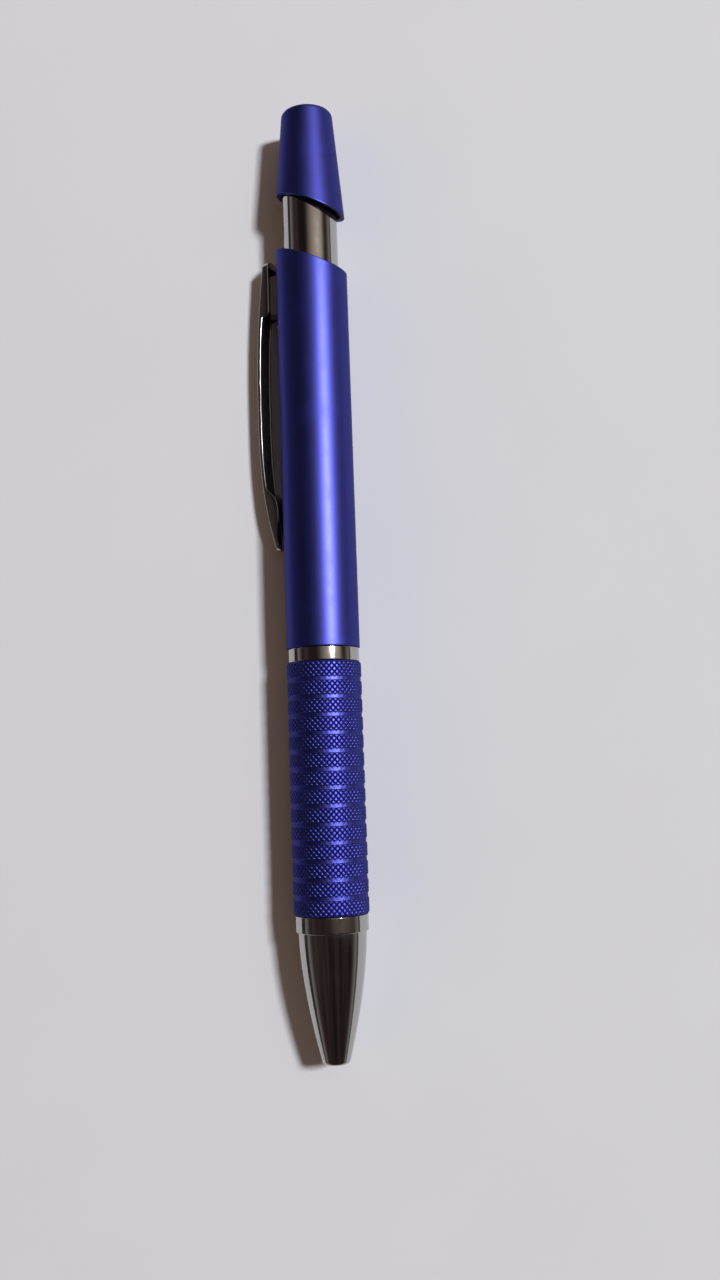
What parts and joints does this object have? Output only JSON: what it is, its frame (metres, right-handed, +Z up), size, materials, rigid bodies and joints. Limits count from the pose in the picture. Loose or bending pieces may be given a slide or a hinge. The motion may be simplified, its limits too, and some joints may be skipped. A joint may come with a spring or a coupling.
{
  "type": "retractable ball pen",
  "caption": "Retractable metal ball pen with a knurled grip, chrome nose and centre ring, spring clip and slanted push button.",
  "frame": {"origin": "centre of the pen's footprint, on the surface that it lies on", "axes": "+Y along the pen from the nose to the button, +Z up, the clip towards -X and down to the surface"},
  "size_m": [0.0142, 0.1398, 0.0107],
  "materials": {
    "blue_lacquer": "satin metallic blue lacquer on turned aluminium",
    "chrome_plate": "bright chrome plate on turned brass",
    "clip_chrome": "bright chrome plate on pressed steel",
    "turned_brass": "turned brass",
    "refill_steel": "drawn steel tube",
    "spring_steel": "drawn spring wire",
    "black_plastic": "moulded ABS",
    "white_plastic": "moulded acetal",
    "blue_ink": "thick blue ink"
  },
  "bodies": {
    "barrel": {"upper_barrel": "blue_lacquer", "guide_bush": "black_plastic", "cam_sleeve": "white_plastic", "thread_bush": "turned_brass", "clip_foot": "clip_chrome"},
    "clip": {"clip": "clip_chrome"},
    "button": {"button_cap": "blue_lacquer", "button_core": "black_plastic", "plunger_tube": "chrome_plate", "push_cam": "white_plastic"},
    "refill": {"refill_tube": "refill_steel", "refill_plug": "black_plastic", "refill_point": "turned_brass", "writing_ball": "spring_steel", "ink_charge": "blue_ink"},
    "rotor": {"rotor": "white_plastic"},
    "ring": {"centre_ring": "chrome_plate"},
    "grip": {"grip_sleeve": "blue_lacquer", "grip_liner": "black_plastic", "nose_cone": "chrome_plate", "return_spring": "spring_steel"}
  },
  "joints": [
    {"name": "button_press", "type": "slide", "parent": "barrel", "child": "button", "axis": [0, -1, 0], "range_m": [0, 0.007], "stiffness_N_per_m": 250, "springref_m": -0.004},
    {"name": "refill_advance", "type": "slide", "parent": "barrel", "child": "refill", "axis": [0, -1, 0], "range_m": [0, 0.007], "deforming": ["return_spring"]},
    {"name": "rotor_turn", "type": "hinge", "parent": "refill", "child": "rotor", "pos_m": [0.0017, 0.0335, 0.00537], "axis": [0, 1, 0], "range_deg": [0, 22.5]},
    {"name": "clip_flex", "type": "hinge", "parent": "barrel", "child": "clip", "pos_m": [-0.00426, 0.0458, 0.00254], "axis": [0.4288, 0, -0.9034], "range_deg": [0, 4], "stiffness_Nm_per_rad": 3.6},
    {"name": "grip_draw", "type": "slide", "parent": "barrel", "child": "ring", "axis": [0, -1, 0], "range_m": [0, 0.00301]},
    {"name": "grip_unscrew", "type": "hinge", "parent": "ring", "child": "grip", "pos_m": [0.0017, -0.0107, 0.00537], "axis": [0, -1, 0], "range_deg": [0, 1440]}
  ],
  "couplings": [
    {"joint": "refill_advance", "follows": "button_press", "ratio": 1},
    {"joint": "rotor_turn", "follows": "button_press", "rad_per_m": 56.09},
    {"joint": "grip_draw", "follows": "grip_unscrew", "m_per_rad": 0.00011937}
  ]
}
